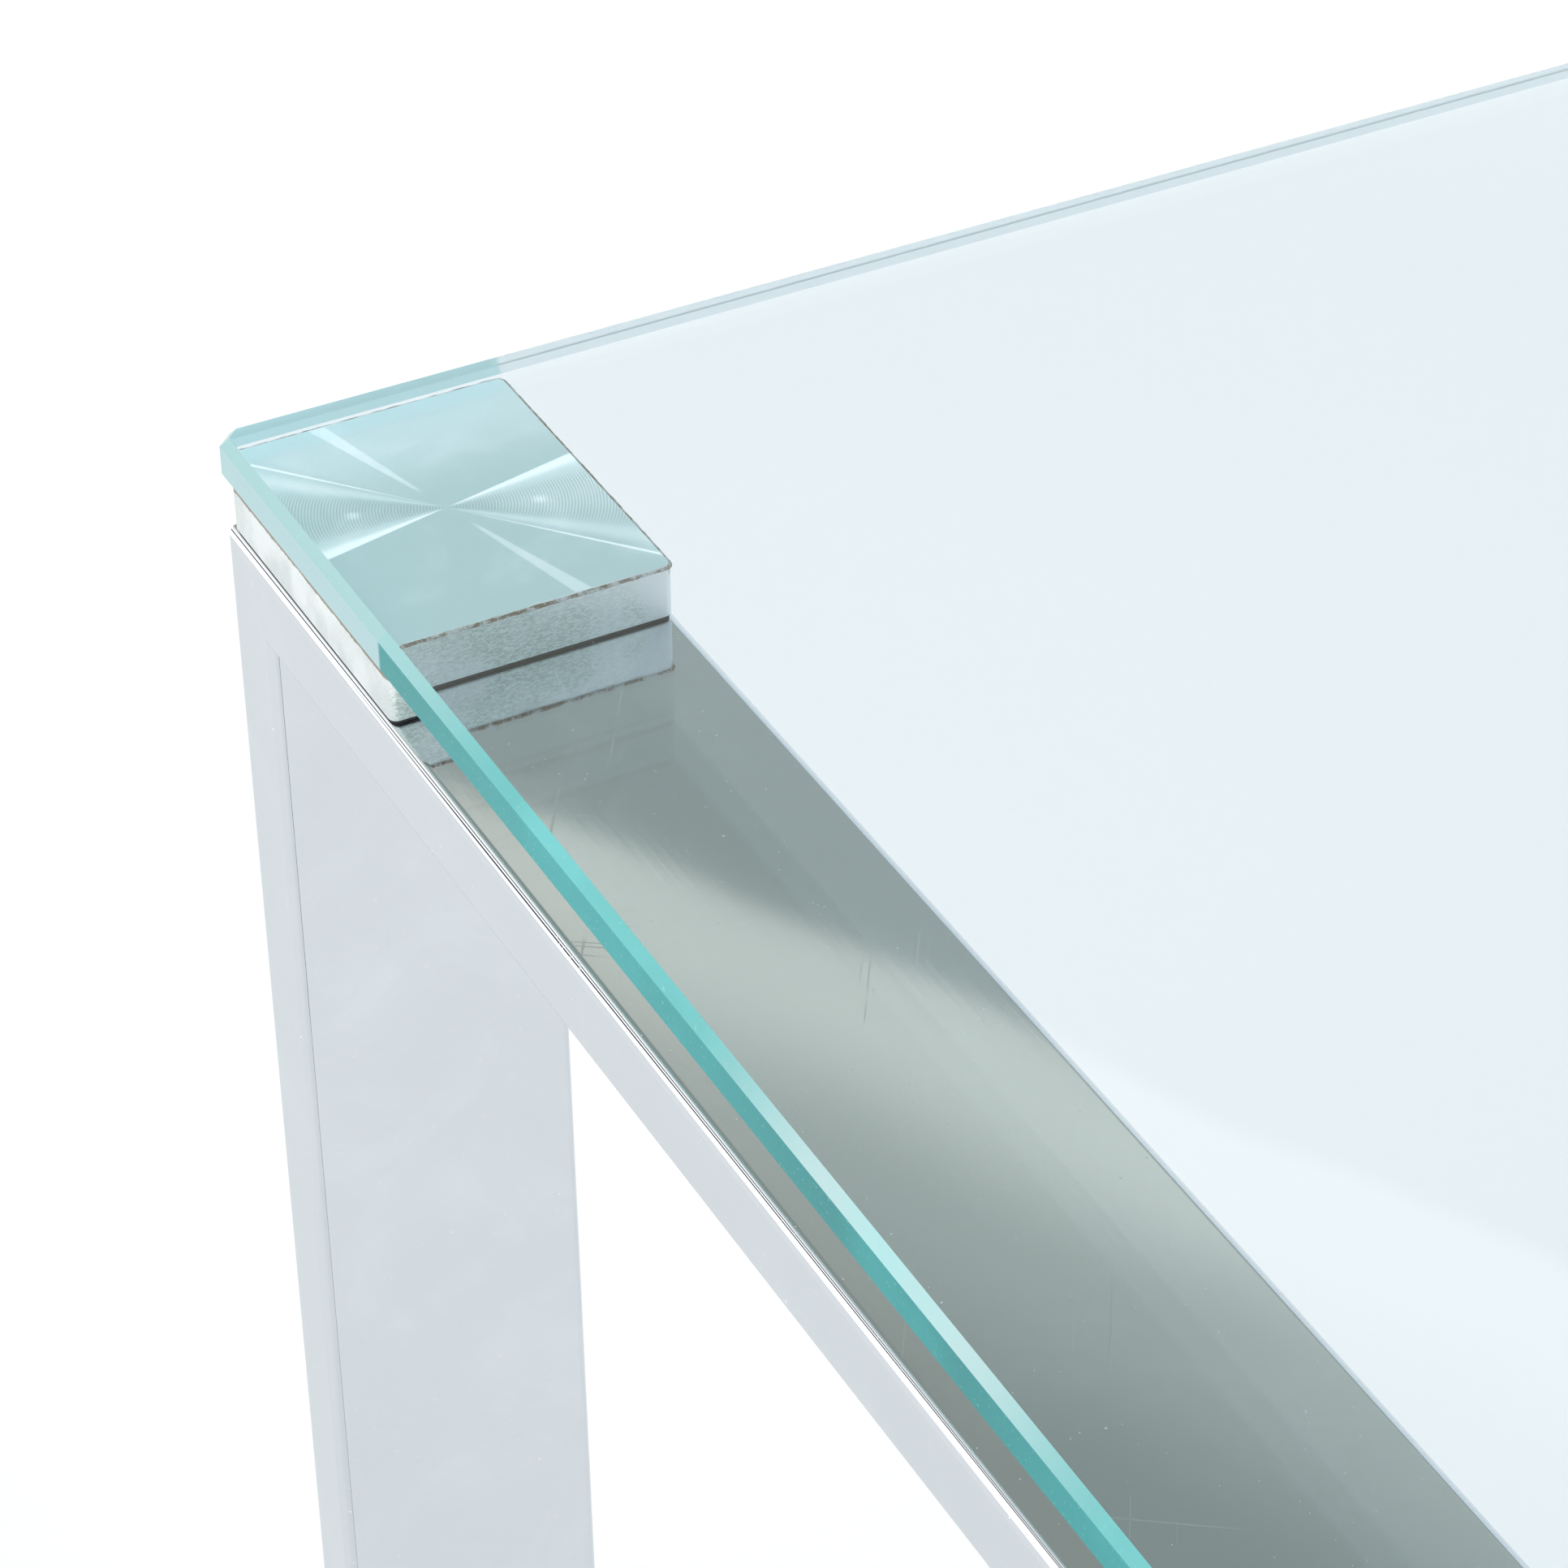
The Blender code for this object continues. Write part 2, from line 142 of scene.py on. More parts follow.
class StageSettings(bpy.types.PropertyGroup):
    floor_color: color_prop("Floor", "Colour of the floor", (0.95, 0.955, 0.97))
    # Painted shade: the floor is greyer in a band left of the table, for the frame to mirror.
    floor_left_shade: color_prop(
        "Floor at the left", "Colour of the floor left of the table", (0.86, 0.88, 0.90))
    light_strength: FloatProperty(
        name="Light", description="Strength of the surrounding light", default=1.22, min=0.0)
    ceiling_color: color_prop(
        "Ceiling", "Light from the upper back of the room", (0.400, 0.406, 0.356))
    strip_color: FloatVectorProperty(
        name="Strip", description="Light of the bright strip across the ceiling", size=3,
        default=(0.82, 0.775, 0.66))
    camera_place: FloatVectorProperty(
        name="Camera", description="Place of the camera", size=3, subtype="TRANSLATION",
        default=(-0.83023, -0.42702, 1.18664))
    camera_turn: FloatVectorProperty(
        name="Camera turn", description="Rotation of the camera in radians", size=3,
        subtype="EULER",
        default=(math.radians(54.0145), math.radians(0.7290), math.radians(-27.4514)))
    lens: FloatProperty(name="Lens", description="Focal length in millimetres", default=116.57)


# ---------------- surfaces


def grid_faces(rows, columns, wrap_rows=False, wrap_columns=False):
    """Corner numbers of the quads of a rows x columns grid, with either direction joined up."""
    row = np.arange(rows if wrap_rows else rows - 1)[:, None]
    column = np.arange(columns if wrap_columns else columns - 1)[None, :]
    next_row = (row + 1) % rows
    next_column = (column + 1) % columns
    corners = (
        row * columns + column, row * columns + next_column,
        next_row * columns + next_column, next_row * columns + column)
    return np.stack(np.broadcast_arrays(*corners), axis=-1).reshape(-1, 4)


def new_piece(name, points, faces, material, smooth_angle=None, recalculate=True):
    """Puts points and faces, as arrays, into a new mesh object at the origin."""
    mesh = bpy.data.meshes.new(name)
    mesh.from_pydata(np.asarray(points).reshape(-1, 3).tolist(), [], [list(face) for face in faces])
    builder = bmesh.new()
    builder.from_mesh(mesh)
    bmesh.ops.remove_doubles(builder, verts=builder.verts, dist=1e-6)
    if recalculate:
        bmesh.ops.recalc_face_normals(builder, faces=builder.faces)
    builder.to_mesh(mesh)
    builder.free()
    mesh.materials.append(material)
    if smooth_angle is not None:
        mesh.shade_smooth()
        mesh.set_sharp_from_angle(angle=math.radians(smooth_angle))
    piece = bpy.data.objects.new(name, mesh)
    bpy.context.scene.collection.objects.link(piece)
    return piece


def settle(piece, slot, *nodes, body=TABLE):
    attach(piece, body)
    if nodes:
        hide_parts(*nodes)
    return piece


def rounded_rectangle(width, depth, radius, steps):
    """Outline of a rectangle with quarter-circle corners, counter-clockwise, with its normals.

    Corner k has its centre at the rectangle's corner moved in by the radius on both sides,
    and its points are centre + radius * (cos a, sin a), with a from 90 k to 90 (k + 1) degrees.
    """
    quarter = np.arange(4)[:, None]
    angle = (math.pi / 2) * (quarter + np.linspace(0.0, 1.0, steps + 1)[None, :])
    sign_x = np.array([1, -1, -1, 1])[:, None]
    sign_y = np.array([1, 1, -1, -1])[:, None]
    normal = np.stack([np.cos(angle), np.sin(angle)], axis=-1)
    centre = np.stack(np.broadcast_arrays(
        sign_x * (width / 2 - radius), sign_y * (depth / 2 - radius)), axis=-1)
    points = centre + radius * normal
    return points.reshape(-1, 2), normal.reshape(-1, 2)


def circle(steps):
    """Even angles round a full turn."""
    return np.linspace(0.0, 2 * math.pi, steps, endpoint=False)


def turned_points(profile, steps):
    """Points of a surface of revolution: (r cos a, r sin a, z) for each (r, z) of the profile."""
    profile = np.asarray(profile, float)
    angle = circle(steps)
    radius = profile[:, 0][:, None]
    height = np.broadcast_to(profile[:, 1][:, None], (len(profile), steps))
    return np.stack([radius * np.cos(angle), radius * np.sin(angle), height], axis=-1)


def upright_axis(centre):
    """Where a turned piece stands. Its points keep their own heights."""
    return np.array([centre[0], centre[1], 0.0])


def hexagon(steps):
    """Radius of a hexagon with a flat at the distance 1: r = 1 / cos(a mod 60 - 30 degrees)."""
    angle = circle(steps)
    sector = math.pi / 3
    return 1.0 / np.cos(angle % sector - sector / 2)


def arc(centre, radius, start, end, steps):
    """Points (r, z) = centre + radius * (cos a, sin a), with a in degrees from start to end."""
    angle = np.radians(np.linspace(start, end, steps))
    return np.asarray(centre) + radius * np.stack([np.cos(angle), np.sin(angle)], axis=-1)


def soft_box_points(low, high, edge, corner, edge_steps=5, corner_steps=6):
    """A box whose rims follow quarter circles: a layer is the outline shrunk by edge * (1 - sin a)
    at the height low + edge * (1 - cos a). The same follows upside down, and both ends close on
    points."""
    size = high - low
    angle = np.linspace(0.0, math.pi / 2, edge_steps)
    shrink = edge * (1 - np.sin(angle))
    rise = edge * (1 - np.cos(angle))
    shrink = np.concatenate([shrink, shrink[::-1]])
    height = np.concatenate([low[2] + rise, high[2] - rise[::-1]])
    outline, normal = rounded_rectangle(size[0], size[1], corner, corner_steps)
    middle = (low + high) / 2
    flat = outline[None] - shrink[:, None, None] * normal[None]
    layers = np.concatenate([flat + middle[:2], np.broadcast_to(
        height[:, None, None], (len(height), len(outline), 1))], axis=-1)
    ends = [
        np.broadcast_to([middle[0], middle[1], z], (1, len(outline), 3)) for z in (low[2], high[2])]
    return np.concatenate([ends[0], layers, ends[1]])


def threaded_points(radius, pitch, depth, low, high, steps, taper):
    """Points of a screw thread: r = radius - depth * w, where w is the triangle wave of
    (z / pitch - a / 2 pi), and the depth runs out over a taper at each end."""
    rows = max(8, int((high - low) / pitch * 8))
    angle = circle(steps)[None, :]
    height = np.linspace(low, high, rows)[:, None]
    wave = np.abs(((height / pitch - angle / (2 * math.pi)) % 1.0) * 2 - 1)
    fade = np.clip(np.minimum(height - low, high - height) / taper, 0.0, 1.0)
    reach = radius - depth * wave * fade
    height = np.broadcast_to(height, reach.shape)
    return np.stack([reach * np.cos(angle), reach * np.sin(angle), height], axis=-1)


# ---------------- shader nodes


class Wire:
    """A shader socket that can be used in sums, differences, products and abs()."""

    def __init__(self, shader, socket):
        self.shader = shader
        self.socket = socket

    def __add__(self, other):
        return self.shader.math("ADD", self, other)

    def __radd__(self, other):
        return self.shader.math("ADD", other, self)

    def __sub__(self, other):
        return self.shader.math("SUBTRACT", self, other)

    def __rsub__(self, other):
        return self.shader.math("SUBTRACT", other, self)

    def __mul__(self, other):
        return self.shader.math("MULTIPLY", self, other)

    def __rmul__(self, other):
        return self.shader.math("MULTIPLY", other, self)

    def __abs__(self):
        return self.shader.math("ABSOLUTE", self)


class Outputs:
    """The outputs of one node, by number or name."""

    def __init__(self, shader, node):
        self.shader = shader
        self.source = node

    def __getitem__(self, key):
        return Wire(self.shader, self.source.outputs[key])


class Shader:
    """Builds one material's or world's node tree."""

    def __init__(self, owner):
        self.owner = owner
        owner.use_nodes = True
        self.tree = owner.node_tree
        self.tree.nodes.clear()

    def node(self, kind, settings=None, inputs=None):
        made = self.tree.nodes.new(kind)
        for key, value in (settings or {}).items():
            setattr(made, key, value)
        for key, value in (inputs or {}).items():
            socket = made.inputs[key]
            if isinstance(value, Wire):
                self.tree.links.new(value.socket, socket)
            elif value is not None:
                socket.default_value = value
        return Outputs(self, made)

    def mapping(self, vector, scale, turn=(0.0, 0.0, 0.0)):
        return self.node("ShaderNodeMapping", None, {
            "Vector": vector, "Scale": scale, "Rotation": turn})[0]

    def coordinates(self, scale=(1.0, 1.0, 1.0), turn=(0.0, 0.0, 0.0)):
        return self.mapping(self.node("ShaderNodeTexCoord")["Object"], scale, turn)

    def math(self, operation, first, second=None):
        return self.node("ShaderNodeMath", {"operation": operation}, {0: first, 1: second})[0]

    def noise(self, vector, scale, detail=3.0, roughness=0.5, distortion=0.0):
        return self.node("ShaderNodeTexNoise", None, {
            "Vector": vector, "Scale": scale, "Detail": detail, "Roughness": roughness,
            "Distortion": distortion})[0]

    def specks(self, vector, scale, size):
        """Small round spots: 1 within size of the nearest of many scattered points."""
        distance = self.node("ShaderNodeTexVoronoi", None, {
            "Vector": vector, "Scale": scale})["Distance"]
        return self.fall(distance, size * 0.6, size)

    def scratches(self, degrees):
        """Hairlines along one direction of the XY plane: thin crests of a stretched noise."""
        turned = self.coordinates(turn=(0.0, 0.0, math.radians(degrees)))
        stretched = self.mapping(turned, (18.0, 1500.0, 60.0))
        crest = self.noise(stretched, 1.0, 1.0, 0.4, 0.2)
        return self.step(crest, 0.70, 0.76)

    def step(self, value, low, high, out_low=0.0, out_high=1.0):
        """Smooth change from out_low to out_high as value goes from low to high."""
        curve = {"interpolation_type": "SMOOTHSTEP", "clamp": True}
        return self.node("ShaderNodeMapRange", curve, {
            "Value": value, "From Min": low, "From Max": high,
            "To Min": out_low, "To Max": out_high})[0]

    def fall(self, value, low, high):
        """Smooth fall from 1 to 0 as value goes from low to high."""
        return self.step(value, low, high, 1.0, 0.0)

    def mix(self, factor, first, second):
        def color(value):
            return value if isinstance(value, Wire) else (*value, 1.0)

        return self.node("ShaderNodeMix", {"data_type": "RGBA"}, {
            0: factor, 6: color(first), 7: color(second)})[2]

    def bump(self, height, strength, distance, normal=None):
        return self.node("ShaderNodeBump", None, {
            "Height": height, "Strength": strength, "Distance": distance, "Normal": normal})[0]

    def axes(self, vector):
        made = self.node("ShaderNodeSeparateXYZ", None, {"Vector": vector})
        return made["X"], made["Y"], made["Z"]

    def principled(self, **inputs):
        names = {key.replace("_", " "): value for key, value in inputs.items()}
        for key in ("Base Color", "Emission Color"):
            if key in names and not isinstance(names[key], Wire):
                names[key] = (*tuple(names[key])[:3], 1.0)
        return self.node("ShaderNodeBsdfPrincipled", None, names)[0]

    def finish(self, surface, kind="ShaderNodeOutputMaterial"):
        self.node(kind, None, {"Surface": surface})
        return self.owner

    def plain(self, **inputs):
        """Ends a material with one principled surface, and gives the material."""
        return self.finish(self.principled(**inputs))


def new_shader(name):
    return Shader(bpy.data.materials.new(name))


def scaled(color, factor):
    return tuple(min(1.0, channel * factor) for channel in color)


# ---------------- finishes


def clear_glass(settings):
    """Clear sheet glass with faint smears on its faces."""
    shader = new_shader("clear_glass")
    place = shader.coordinates()
    smear = shader.noise(place, 9.0, 4.0, 0.6, 0.8)
    roughness = shader.step(smear, 0.55, 0.85, 0.0, 0.012)
    return shader.plain(
        Base_Color=settings.tint, Roughness=roughness, IOR=settings.index, Transmission_Weight=1.0)


def glass_edge(settings, name, colors):
    """Polished edge. Outside it scatters blue-green light, in three tones: away from the blocks,
    next to a block's end and over a block; the lighter tone over a block is a painted
    brightening for the bright block seen through. Inside it is clear glass mixed with a diffuse
    share that gives off a little light of its own: a painted glow for light trapped in the edge."""
    away, beside, lit = colors
    shader = new_shader(name)
    place = shader.coordinates()
    x, y = shader.axes(place)[:2]
    from_middle = abs(y)
    block_inner = abs(BLOCK_HIGH[0])
    over = shader.step(from_middle, BLOCK_LOW[1] - MM, BLOCK_LOW[1])
    over = over * shader.step(abs(x), block_inner - MM, block_inner)
    drift = shader.noise(place, 26.0, 3.0, 0.6)
    speckle = shader.noise(place, 1400.0, 2.0, 0.6)
    near = shader.step(from_middle, 0.015, 0.06) * shader.step(from_middle, 0.115, 0.155, 1.0, 0.45)
    shade = shader.mix(near, away, beside)
    shade = shader.mix(shader.step(drift, 0.45, 0.70, 0.0, 0.25), shade, scaled(beside, 1.6))
    # Painted brightening over a block, for the bright block seen through the edge.
    shade = shader.mix(over, shade, lit)
    shade = shader.mix(shader.step(speckle, 0.62, 0.75, 0.0, 0.25), shade, scaled(lit, 1.3))
    ground = shader.bump(speckle, 0.05, 0.2 * MM)
    outside = shader.principled(
        Base_Color=shade, Roughness=0.2, IOR=settings.index, Specular_IOR_Level=0.1, Normal=ground)
    clear = shader.principled(
        Base_Color=settings.tint, Roughness=0.02, IOR=settings.index, Transmission_Weight=1.0)
    # Painted glow: a diffuse share inside the edge gives off light, standing in for light trapped
    # in the glass.
    trapped = shader.mix(over, settings.trapped, settings.edge_lit)
    glowing_share = shader.principled(
        Base_Color=trapped, Roughness=0.6, Specular_IOR_Level=0.0, Emission_Color=trapped,
        Emission_Strength=0.62)
    share = 0.55 + over * 0.35
    inside = shader.node("ShaderNodeMixShader", None, {0: share, 1: clear, 2: glowing_share})[0]
    behind = shader.node("ShaderNodeNewGeometry")["Backfacing"]
    return shader.finish(
        shader.node("ShaderNodeMixShader", None, {0: behind, 1: outside, 2: inside})[0])


def polished_steel(settings):
    """Mirror-polished steel: slow waviness, faint smears, hairline scratches and dust specks."""
    shader = new_shader("polished_steel")
    place = shader.coordinates()
    wave = shader.noise(place, 7.0, 1.0, 0.4, 0.4)
    smear = shader.noise(place, 24.0, 4.0, 0.65, 1.2)
    dust = shader.specks(place, 420.0, 0.055) + shader.specks(place, 170.0, 0.04)
    lines = shader.noise(shader.coordinates((900.0, 22.0, 900.0)), 1.0, 2.0, 0.5)
    rubbed = shader.step(shader.noise(place, 34.0, 2.0, 0.5), 0.52, 0.62)
    scratch = (shader.scratches(35.0) + shader.scratches(-58.0)) * rubbed
    tone = shader.mix(shader.step(smear, 0.45, 0.8), settings.color, scaled(settings.color, 1.05))
    tone = shader.mix(dust * 0.7, tone, (0.92, 0.95, 0.95))
    roughness = settings.roughness + shader.step(smear, 0.5, 0.85, 0.0, 0.035)
    roughness = roughness + dust * 0.5 + scratch * 0.16 + lines * 0.01
    normal = shader.bump(wave, 0.30, 1.2 * MM)
    normal = shader.bump(lines + scratch, 0.02, 0.05 * MM, normal)
    return shader.plain(
        Base_Color=tone, Metallic=1.0 - dust * 0.8, Roughness=roughness, Normal=normal)


def turned_aluminium(settings):
    """Aluminium turned on top in fine rings, with painted highlights fanning out from the middle,
    and sanded on its sides.

    The from_centre attribute holds each point's place from the block's middle. The painted
    highlights are functions of the angle about the upright axis, and the rings are a sine of the
    radius. The top gives off a little light of its own: a painted glow, brightest in the
    highlights.
    """
    shader = new_shader("turned_aluminium")
    place = shader.node("ShaderNodeAttribute", {"attribute_name": "from_centre"})["Vector"]
    x, y, z = shader.axes(place)
    block_half_height = (GLASS_LOW[2] - RAIL_HIGH[2] - settings.pad_height) / 2
    block_half_width = (BLOCK_HIGH[0] - BLOCK_LOW[0]) / 2
    radius = shader.math("SQRT", x * x + y * y)
    angle = shader.math("ARCTAN2", y, x)
    ring = shader.math("SINE", radius * (2 * math.pi / settings.ring_pitch))

    def highlight_fan(degrees, before, after):
        """Painted highlight mask: 1 on the spoke at this angle and its opposite, falling to 0 over
        each side's width.
        """
        turn = angle - math.radians(degrees)
        along = shader.math("COSINE", turn)
        side = shader.math("SINE", turn) * along * 2.0
        rise = shader.step(side, -math.sin(math.radians(2 * before)), 0.0)
        fall = shader.fall(side, 0.0, math.sin(math.radians(2 * after)))
        return rise * fall * shader.step(abs(along), 0.60, 0.75)

    upward = shader.axes(shader.node("ShaderNodeNewGeometry")["Normal"])[2]
    top = shader.step(upward, 0.9, 0.97)
    # Painted highlights on the turned top: a wide sector, a narrow streak 5 to 9 mm out, a bright
    # patch 14.6 mm out, soft cloud patches and a lighter far half.
    wide_highlight = -19.0
    sector = highlight_fan(wide_highlight, 32.0, 31.0)
    highlight_wedge = shader.step(highlight_fan(-74.0, 3.8, 3.8), 0.25, 0.40) * shader.step(radius, 5.0 * MM, 9.0 * MM)
    from_highlight_spot = abs(radius - 14.6 * MM)
    highlight_spot = shader.fall(from_highlight_spot, 0.0, 1.8 * MM) * highlight_fan(wide_highlight, 6.0, 6.0)
    cloud = shader.step(shader.noise(place, 55.0, 3.0, 0.6, 0.8), 0.48, 0.70)
    far_side_highlight = shader.step(y, 2.0 * MM, 24.0 * MM)
    # Each painted highlight spoke: its strength, its angle in degrees, and its widths before and
    # after that angle.
    highlight_spokes = (
        (0.90, 11.5, 9.0, 1.0), (0.45, 11.5, 34.0, 1.2), (1.00, -49.5, 0.9, 0.8),
        (0.35, -43.0, 6.0, 7.0))
    painted_highlight = sum(strength * highlight_fan(*place_of_highlight) for strength, *place_of_highlight in highlight_spokes)
    painted_highlight = painted_highlight + 0.42 * highlight_wedge + 0.70 * highlight_spot + 0.14 * cloud
    painted_highlight = painted_highlight + 0.28 * far_side_highlight + 0.34 * sector * shader.step(x, 3.0 * MM, 12.0 * MM)
    painted_highlight = painted_highlight * shader.step(radius, 0.3 * MM, 3.0 * MM, 0.5, 1.0)
    # The top's colour is lightened by the painted highlights.
    face = shader.mix(painted_highlight * 0.6, settings.top_color, (0.98, 1.0, 1.0))
    # Darker rings: real turned grooves, with painted contrast that is strong inside the wide
    # painted highlight and faint outside it.
    groove = shader.step(ring, -0.5, 0.5) * shader.step(sector, 0.1, 0.5, 0.05, 0.70)
    face = shader.mix(groove * top, face, scaled(settings.top_color, 0.70))
    # Painted glow: the top gives off light of its own, brightest in the painted highlights.
    glow = shader.mix(painted_highlight * (1.0 - groove * 0.6), (0.115, 0.120, 0.125), (0.56, 0.59, 0.60))
    glow = shader.mix(top, (0.0, 0.0, 0.0), glow)
    fine = shader.mapping(place, (1100.0, 2200.0, 2600.0), (0.0, math.radians(35.0), 0.0))
    grain = shader.noise(fine, 1.0, 4.0, 0.7, 0.6)
    pits = shader.noise(place, 2600.0, 2.0, 0.6)
    worn = shader.step(shader.noise(place, 90.0, 2.0, 0.5), 0.40, 0.62)
    sanded = shader.mix(
        shader.step(grain, 0.40, 0.60), scaled(settings.side_color, 0.64), settings.side_color)
    outer_face = shader.step(abs(x), block_half_width - MM, block_half_width)
    sanded = shader.mix(outer_face * 0.8, sanded, (0.69, 0.73, 0.74))
    sanded = shader.mix(worn * 0.5, sanded, scaled(settings.side_color, 1.10))
    pitted = shader.step(pits, 0.66, 0.74, 0.0, 0.6)
    sanded = shader.mix(pitted, sanded, scaled(settings.side_color, 1.25))
    # Lighter and less metallic towards the block's +x end, up to a slanted border.
    pale_slanted_end = shader.step(x + 0.5 * z, 16.0 * MM, 20.0 * MM)
    sanded = shader.mix(pale_slanted_end, sanded, (0.93, 0.98, 1.0))
    # A thin slanted nicked line on the sides, painted lighter as a glint of light along it.
    from_nick_and_glint = abs(x - 0.3 * z - 4.0 * MM)
    nick_and_glint = shader.fall(from_nick_and_glint, 0.10 * MM, 0.30 * MM) * shader.step(pits, 0.48, 0.56)
    nick_and_glint = nick_and_glint * shader.step(z, -2.5 * MM, -1.5 * MM) * (1.0 - pale_slanted_end)
    sanded = shader.mix(nick_and_glint * 0.8, sanded, (0.97, 0.99, 1.0))
    # Adhesive that ran down the outer faces: a ragged brown line under the glass.
    ragged = shader.noise(place, 900.0, 3.0, 0.7) * 1.4 * MM
    run_down = shader.step(
        z + ragged, block_half_height - 1.35 * MM, block_half_height - 1.05 * MM)
    sanded = shader.mix(run_down * outer_face * 0.85, sanded, (0.27, 0.21, 0.14))
    color = shader.mix(top, sanded, face)
    side = 1.0 - top
    roughness = 0.44 - 0.16 * top + shader.step(grain, 0.3, 0.7, 0.0, 0.10) * side
    metallic = 0.92 - 0.80 * top - 0.5 * pale_slanted_end * side
    ring_normal = shader.bump(ring * top, 0.20, 0.02 * MM)
    normal = shader.bump(grain * side * (1.0 - outer_face * 0.7), 0.55, 0.08 * MM, ring_normal)
    return shader.plain(
        Base_Color=color, Metallic=metallic, Roughness=roughness, Normal=normal,
        Emission_Color=glow, Emission_Strength=1.0)


def glue_bead():
    """Dried adhesive and saw dust squeezed out along the joint."""
    shader = new_shader("glue_bead")
    place = shader.coordinates()
    patch = shader.noise(place, 420.0, 3.0, 0.7)
    grit = shader.noise(place, 2400.0, 2.0, 0.6)
    color = shader.mix(shader.step(patch, 0.38, 0.56), (0.78, 0.80, 0.78), (0.27, 0.20, 0.13))
    color = shader.mix(shader.step(grit, 0.55, 0.7), color, (0.86, 0.88, 0.86))
    return shader.plain(
        Base_Color=color, Roughness=0.6, Normal=shader.bump(grit, 0.6, 0.1 * MM))


def black_pad():
    """Thin black sheet with a fine cellular grain."""
    shader = new_shader("black_pad")
    cells = shader.noise(shader.coordinates(), 1800.0, 3.0, 0.6)
    color = shader.mix(cells, (0.012, 0.014, 0.015), (0.05, 0.055, 0.058))
    return shader.plain(
        Base_Color=color, Roughness=0.8, Normal=shader.bump(cells, 0.4, 0.1 * MM))


def moulded_plastic(name, color, roughness):
    """Moulded plastic with a fine spark-eroded grain and slight scuffs."""
    shader = new_shader(name)
    place = shader.coordinates()
    grain = shader.noise(place, 1500.0, 3.0, 0.6)
    scuff = shader.noise(place, 160.0, 4.0, 0.7, 1.0)
    tone = shader.mix(shader.step(scuff, 0.5, 0.8), color, scaled(color, 1.5))
    return shader.plain(
        Base_Color=tone, Roughness=roughness + shader.step(scuff, 0.4, 0.8, -0.05, 0.1),
        Normal=shader.bump(grain, 0.3, 0.08 * MM))


def zinc_plating(settings):
    """Zinc-plated steel: cloudy, slightly blue, with a faint stain pattern in its bump."""
    shader = new_shader("zinc_plating")
    place = shader.coordinates()
    cloud = shader.noise(place, 240.0, 4.0, 0.6, 0.6)
    stain = shader.noise(place, 900.0, 2.0, 0.5)
    tone = shader.mix(cloud, scaled(settings.color, 0.8), scaled(settings.color, 1.2))
    return shader.plain(
        Base_Color=tone, Metallic=1.0, Roughness=0.25 + cloud * 0.2,
        Normal=shader.bump(stain, 0.15, 0.05 * MM))


# ---------------- operators


class AddGlassTop(bpy.types.Operator):
    """Add the glass top with its polished edges and bevels"""

    bl_idname = "console_table.add_glass_top"
    bl_label = "Glass top"

    def execute(self, context):
        """The rim is a grid: outlines with clipped corners, at the section's four heights."""
        settings = context.scene.console_glass
        size = GLASS_HIGH - GLASS_LOW
        middle = (GLASS_LOW + GLASS_HIGH) / 2
        bevel = settings.bevel

        def outline(inset):
            clip = settings.corner_clip - inset * (2 - math.sqrt(2))
            half_x = size[0] / 2 - inset
            half_y = size[1] / 2 - inset
            return np.array([
                (half_x, -half_y + clip), (half_x, half_y - clip), (half_x - clip, half_y),
                (-half_x + clip, half_y), (-half_x, half_y - clip), (-half_x, -half_y + clip),
                (-half_x + clip, -half_y), (half_x - clip, -half_y)]) + middle[:2]

        section = [(bevel, GLASS_LOW[2]), (0.0, GLASS_LOW[2] + bevel),
                   (0.0, GLASS_HIGH[2] - bevel), (bevel, GLASS_HIGH[2])]
        corners = 8
        rows = np.array([
            np.column_stack([outline(inset), np.full(corners, z)]) for inset, z in section])
        faces = [list(face) for face in grid_faces(len(section), corners, wrap_columns=True)]
        faces.append(list(range(corners))[::-1])
        faces.append(list(range((len(section) - 1) * corners, len(section) * corners)))
        glass = new_piece("glass_sheet", rows, faces, clear_glass(settings))
        edge_tones = (settings.edge, scaled(settings.edge, 1.25), settings.edge_lit)
        bevel_tones = (settings.bevel_color, settings.bevel_deep, settings.bevel_lit)
        glass.data.materials.append(glass_edge(settings, "glass_edge", edge_tones))
        glass.data.materials.append(glass_edge(settings, "glass_bevel", bevel_tones))
        for polygon in glass.data.polygons:
            if abs(polygon.normal.z) < 0.1:
                polygon.material_index = 1
            elif abs(polygon.normal.z) < 0.9:
                polygon.material_index = 2
        settle(glass, "clear_glass", "glass_top")
        return {"FINISHED"}


